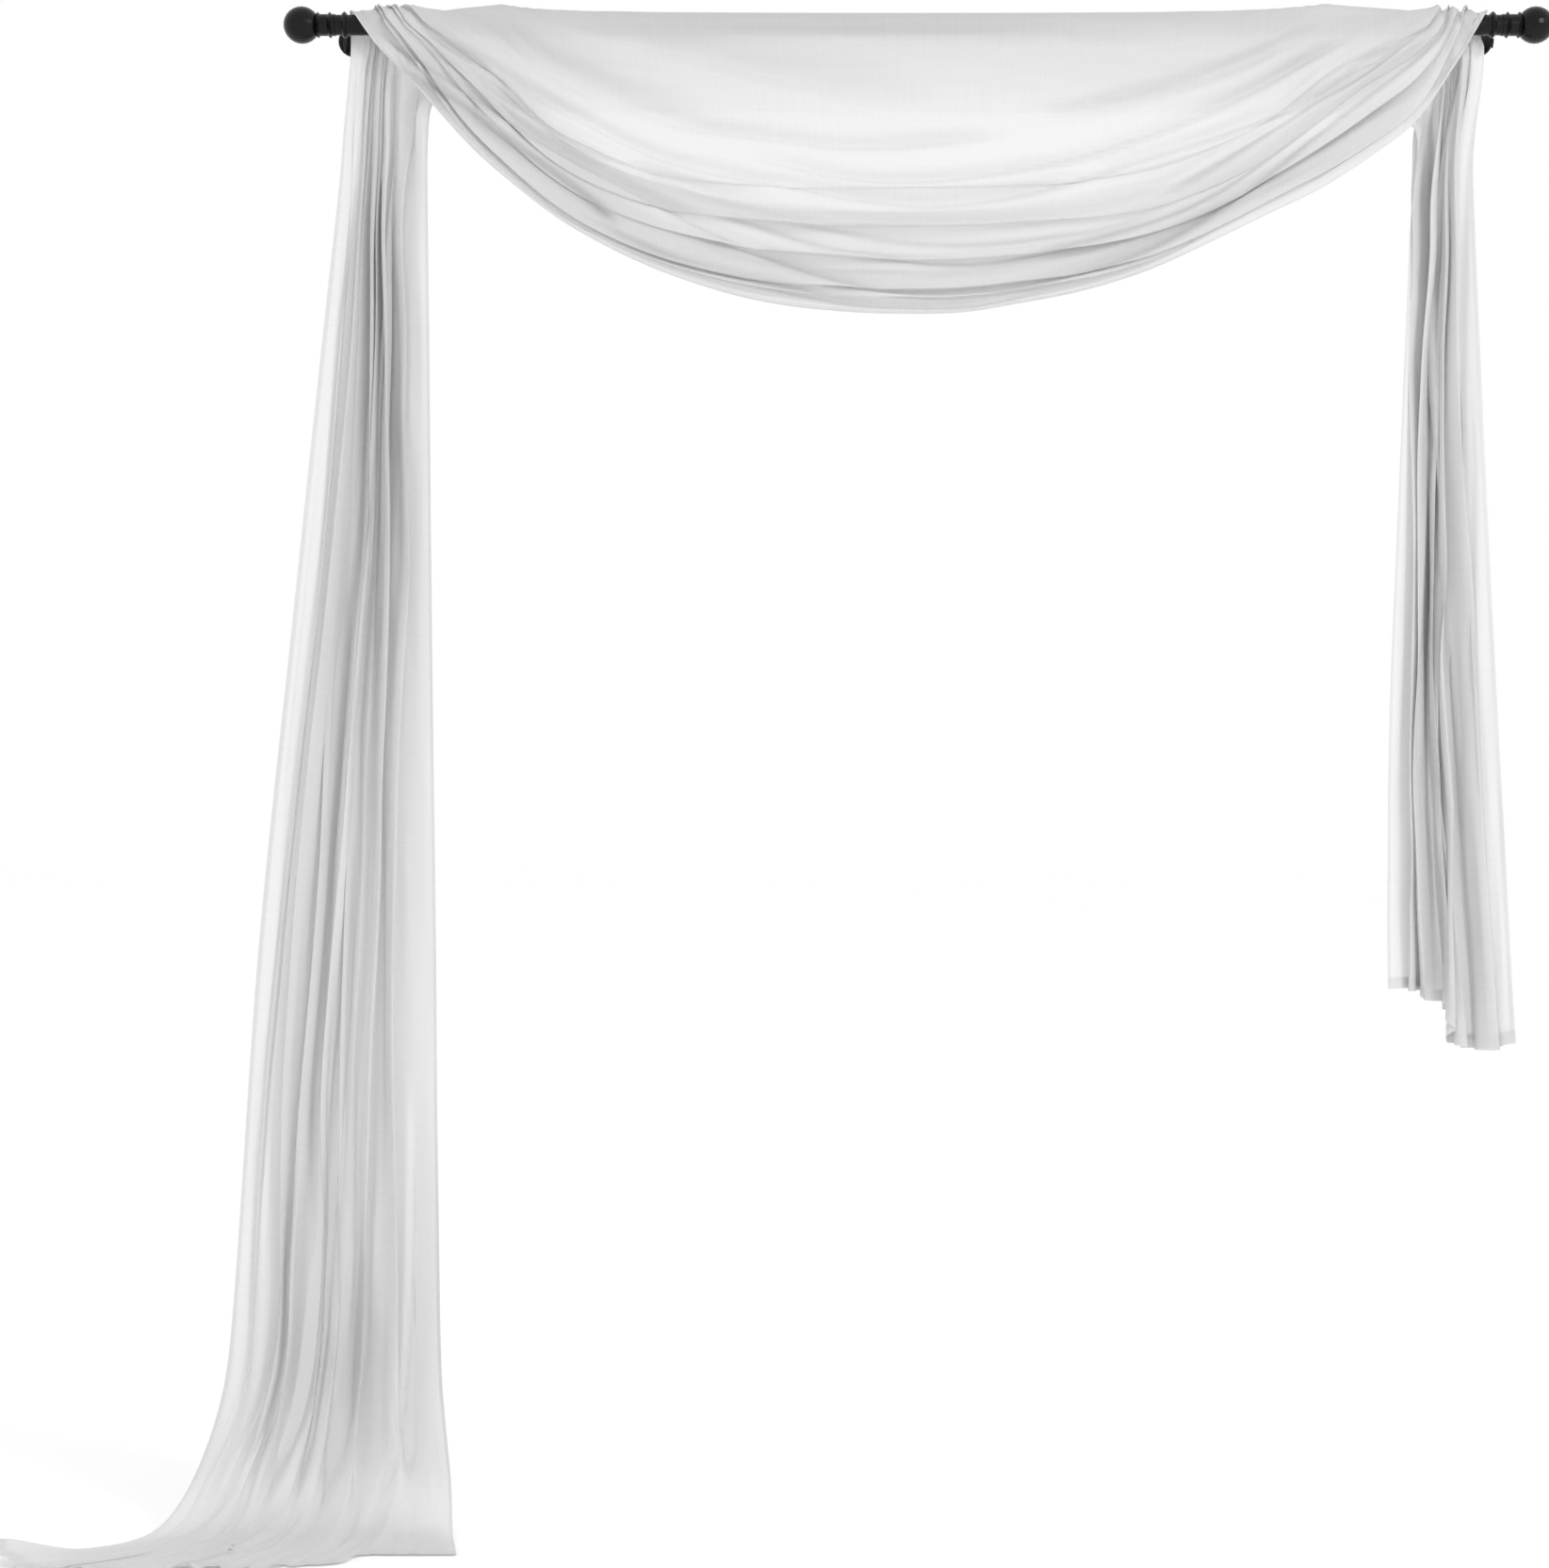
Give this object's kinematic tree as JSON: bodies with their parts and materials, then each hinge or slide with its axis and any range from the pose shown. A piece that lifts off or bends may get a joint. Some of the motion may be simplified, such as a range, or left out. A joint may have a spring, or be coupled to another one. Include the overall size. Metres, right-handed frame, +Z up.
{
  "type": "window scarf valance with curtain rod",
  "caption": "Sheer white scarf valance draped over a black curtain rod with ball finials: a swag in front, a long tail pooling on the floor at the left and a shorter tail at the right.",
  "frame": {"origin": "middle of the back face of the left bracket's wall plate, where it meets the wall, level with the rod's axis", "axes": "+X along the rod to the right as seen from the room, +Y into the wall, +Z up"},
  "size_m": [2.1195, 0.3278, 2.1141],
  "materials": {
    "voile": "thin plain-weave polyester voile, sheer, matt with a faint sheen",
    "black_metal": "smooth black enamel with clear highlights"
  },
  "bodies": {
    "root": {"scarf": "voile", "rod": "black_metal", "finial_left": "black_metal", "finial_right": "black_metal", "bracket_left": "black_metal", "bracket_right": "black_metal", "screw_left": "black_metal", "screw_right": "black_metal"}
  },
  "joints": []
}
